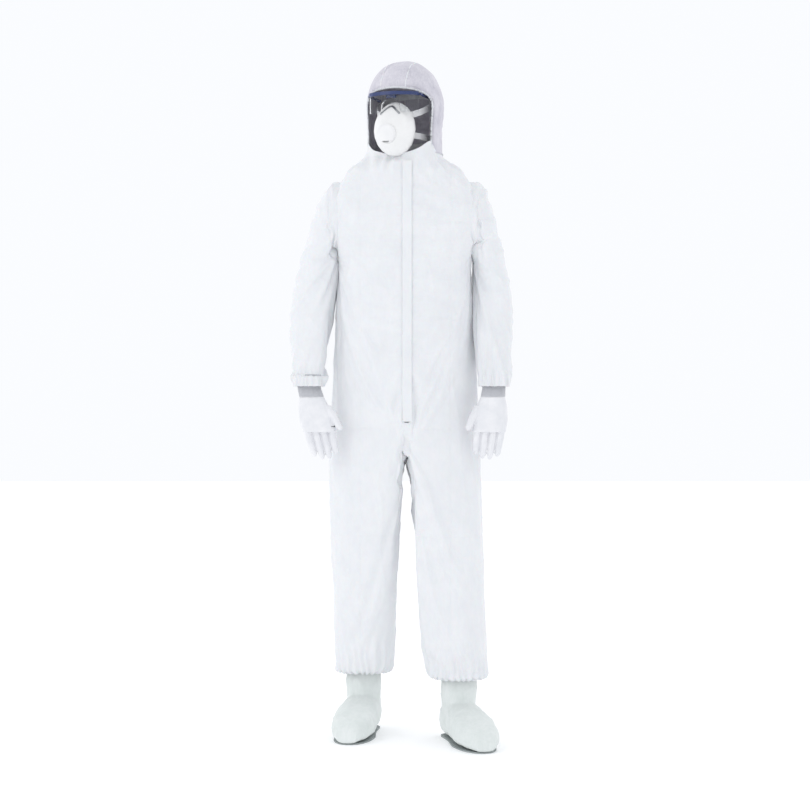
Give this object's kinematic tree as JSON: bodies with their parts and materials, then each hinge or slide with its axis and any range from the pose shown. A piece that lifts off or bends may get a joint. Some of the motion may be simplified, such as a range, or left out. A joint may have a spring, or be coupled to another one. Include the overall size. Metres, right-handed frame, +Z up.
{
  "type": "chemical protective suit",
  "caption": "Hooded protective coverall as worn, empty, with covered zip, elastic cuffs, gloves, overshoes, cup respirator with valve and safety glasses.",
  "frame": {"origin": "the point on the floor straight below the neck line's middle, where the wearer stands", "axes": "+Z up; the front of the suit faces -Y; the wearer's left side is at +X"},
  "size_m": [0.6128, 0.4371, 1.818],
  "materials": {
    "coverall_cloth": "white spunbond nonwoven laminate with a fine dimple pattern, matt, with packing creases",
    "hood_cloth": "thin speckled pale grey nonwoven that light passes through",
    "elastic": "white covered elastic",
    "zip": "white nylon coil, tape and painted slider",
    "knit": "light grey seamless knit",
    "glove_coating": "white thin polyurethane coating, satin",
    "overshoe_film": "white film-coated nonwoven, slightly green-grey and satin",
    "overshoe_sole": "grey-green embossed anti-slip film, matt",
    "mask_fibre": "moulded white needle felt, matt",
    "valve": "white polypropylene",
    "valve_membrane": "thin pale membrane",
    "strap": "flat braided white elastic strap",
    "frame_blue": "dark blue moulded nylon, satin gloss",
    "lens_clear": "clear polycarbonate, gloss",
    "metal": "bare strip and pins"
  },
  "bodies": {
    "trunk": {"front_panel_left": "coverall_cloth", "front_panel_right": "coverall_cloth", "back_panel": "coverall_cloth", "seat_panel": "coverall_cloth", "collar": "coverall_cloth", "waist_elastic": "elastic", "zip_tape_left": "zip", "zip_tape_right": "zip", "zip_chain_left": "zip", "zip_chain_right": "zip", "zip_top_stop_left": "zip", "zip_top_stop_right": "zip", "zip_bottom_stop": "zip"},
    "flap": {"storm_flap": "coverall_cloth"},
    "slider": {"zip_slider": "zip"},
    "puller": {"zip_puller": "zip"},
    "headgear": {"hood_skirt": "hood_cloth", "mask_shell": "mask_fibre", "mask_seal": "mask_fibre", "nose_clip": "metal", "valve_seat": "valve", "valve_cover": "valve", "strap_upper": "strap", "strap_lower": "strap", "brow_bar": "frame_blue", "lens": "lens_clear", "nose_bridge": "frame_blue", "temple_pin_left": "metal", "temple_pin_right": "metal"},
    "hood": {"hood_side_left": "hood_cloth", "hood_side_right": "hood_cloth", "hood_gusset": "hood_cloth", "hood_elastic": "elastic"},
    "temple_arm_left": {"temple_left": "frame_blue"},
    "temple_arm_right": {"temple_right": "frame_blue"},
    "valve_membrane": {"valve_flap": "valve_membrane"},
    "upper_arm_left": {"upper_sleeve_left": "coverall_cloth"},
    "forearm_left": {"forearm_sleeve_left": "coverall_cloth", "cuff_elastic_left": "elastic", "glove_cuff_left": "knit", "glove_left": "glove_coating"},
    "thigh_left": {"thigh_leg_left": "coverall_cloth"},
    "shin_left": {"shin_leg_left": "coverall_cloth", "ankle_elastic_left": "elastic", "overshoe_upper_left": "overshoe_film", "overshoe_sole_left": "overshoe_sole", "overshoe_elastic_left": "elastic"},
    "upper_arm_right": {"upper_sleeve_right": "coverall_cloth"},
    "forearm_right": {"forearm_sleeve_right": "coverall_cloth", "cuff_elastic_right": "elastic", "glove_cuff_right": "knit", "glove_right": "glove_coating"},
    "thigh_right": {"thigh_leg_right": "coverall_cloth"},
    "shin_right": {"shin_leg_right": "coverall_cloth", "ankle_elastic_right": "elastic", "overshoe_upper_right": "overshoe_film", "overshoe_sole_right": "overshoe_sole", "overshoe_elastic_right": "elastic"}
  },
  "joints": [
    {"name": "neck_turn", "type": "hinge", "parent": "trunk", "child": "headgear", "pos_m": [0, -0.008, 1.5372], "axis": [0, 0, 1], "range_deg": [-35, 85]},
    {"name": "hood_fold", "type": "hinge", "parent": "headgear", "child": "hood", "pos_m": [0.03322, 0.09424, 1.56], "axis": [-0.9511, 0.309, 0], "range_deg": [0, 80]},
    {"name": "temple_fold_left", "type": "hinge", "parent": "headgear", "child": "temple_arm_left", "pos_m": [0.04066, -0.11584, 1.703], "axis": [0, 0, 1], "range_deg": [0, 88]},
    {"name": "temple_fold_right", "type": "hinge", "parent": "headgear", "child": "temple_arm_right", "pos_m": [-0.09443, -0.06564, 1.703], "axis": [0, 0, -1], "range_deg": [0, 88]},
    {"name": "valve_lift", "type": "hinge", "parent": "headgear", "child": "valve_membrane", "pos_m": [-0.04827, -0.15656, 1.61], "axis": [-0.9511, 0.309, 0], "range_deg": [0, 8], "stiffness_Nm_per_rad": 0.002},
    {"name": "storm_flap_open", "type": "hinge", "parent": "trunk", "child": "flap", "pos_m": [0.0184, -0.12127, 1.18724], "axis": [0, 0.0288, 0.9996], "range_deg": [0, 160]},
    {"name": "zip_travel", "type": "slide", "parent": "trunk", "child": "slider", "axis": [0, -0.0288, -0.9996], "range_m": [0, 0.63]},
    {"name": "puller_swing", "type": "hinge", "parent": "slider", "child": "puller", "pos_m": [0.004, -0.11099, 1.49407], "axis": [0, -0.9996, 0.0288], "range_deg": [-50, 20]},
    {"name": "shoulder_left", "type": "hinge", "parent": "trunk", "child": "upper_arm_left", "pos_m": [0.1852, 0, 1.38], "axis": [-1, 0, 0], "range_deg": [0, 90]},
    {"name": "elbow_left", "type": "hinge", "parent": "upper_arm_left", "child": "forearm_left", "pos_m": [0.2444, -0.0552, 1.13], "axis": [-1, 0, 0], "range_deg": [0, 90]},
    {"name": "shoulder_right", "type": "hinge", "parent": "trunk", "child": "upper_arm_right", "pos_m": [-0.1852, 0, 1.38], "axis": [-1, 0, 0], "range_deg": [0, 90]},
    {"name": "elbow_right", "type": "hinge", "parent": "upper_arm_right", "child": "forearm_right", "pos_m": [-0.2624, -0.0552, 1.13], "axis": [-1, 0, 0], "range_deg": [0, 90]},
    {"name": "hip_left", "type": "hinge", "parent": "trunk", "child": "thigh_left", "pos_m": [0.107, -0.1145, 0.7748], "axis": [-1, 0, 0], "range_deg": [0, 45]},
    {"name": "knee_left", "type": "hinge", "parent": "thigh_left", "child": "shin_left", "pos_m": [0.12076, 0.06843, 0.54], "axis": [1, 0, 0], "range_deg": [0, 70]},
    {"name": "hip_right", "type": "hinge", "parent": "trunk", "child": "thigh_right", "pos_m": [-0.107, -0.1145, 0.7748], "axis": [-1, 0, 0], "range_deg": [0, 45]},
    {"name": "knee_right", "type": "hinge", "parent": "thigh_right", "child": "shin_right", "pos_m": [-0.10891, 0.1162, 0.54], "axis": [1, 0, 0], "range_deg": [0, 70]}
  ]
}
